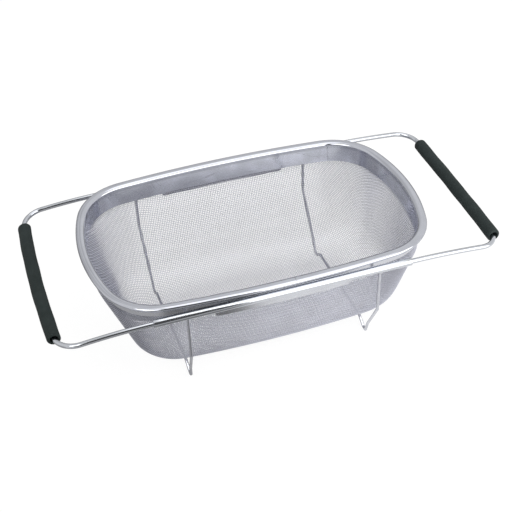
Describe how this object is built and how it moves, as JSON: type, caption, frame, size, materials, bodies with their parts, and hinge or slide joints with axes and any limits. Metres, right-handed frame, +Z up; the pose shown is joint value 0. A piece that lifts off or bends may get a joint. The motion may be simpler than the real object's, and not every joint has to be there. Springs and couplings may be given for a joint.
{
  "type": "extendable colander",
  "caption": "Oval wire-mesh colander with a rolled steel rim, wire legs and sliding wire handles with soft grips, for use across a sink or on a worktop.",
  "frame": {"origin": "middle of the outer bounds in plan, on the plane that the feet stand on", "axes": "+Z up, +X along the long side towards the right handle, -Y towards the side with the rim's seam"},
  "size_m": [0.448, 0.2158, 0.1265],
  "materials": {
    "mesh_basket": "woven stainless wire",
    "rim_band": "polished stainless sheet",
    "rim_core_wire": "drawn steel wire",
    "rim_outer_band": "polished stainless sheet",
    "front_tube_plate": "polished stainless sheet",
    "rear_tube_plate": "polished stainless sheet",
    "front_slide_tube": "polished stainless tube",
    "rear_slide_tube": "polished stainless tube",
    "left_leg_wire": "satin stainless wire",
    "right_leg_wire": "satin stainless wire",
    "left_handle_wire": "polished stainless wire",
    "right_handle_wire": "polished stainless wire",
    "left_grip": "matt soft foam",
    "right_grip": "matt soft foam"
  },
  "bodies": {
    "basket_frame": {"mesh_basket": "mesh_basket", "rim_band": "rim_band", "rim_core_wire": "rim_core_wire", "rim_outer_band": "rim_outer_band", "front_tube_plate": "front_tube_plate", "rear_tube_plate": "rear_tube_plate", "front_slide_tube": "front_slide_tube", "rear_slide_tube": "rear_slide_tube", "left_leg_wire": "left_leg_wire", "right_leg_wire": "right_leg_wire"},
    "left_handle": {"left_handle_wire": "left_handle_wire", "left_grip": "left_grip"},
    "right_handle": {"right_handle_wire": "right_handle_wire", "right_grip": "right_grip"}
  },
  "joints": [
    {"name": "left_handle_slide", "type": "slide", "parent": "basket_frame", "child": "left_handle", "axis": [-1, 0, 0], "range_m": [-0.02, 0.078]},
    {"name": "right_handle_slide", "type": "slide", "parent": "basket_frame", "child": "right_handle", "axis": [1, 0, 0], "range_m": [-0.029, 0.069]}
  ]
}
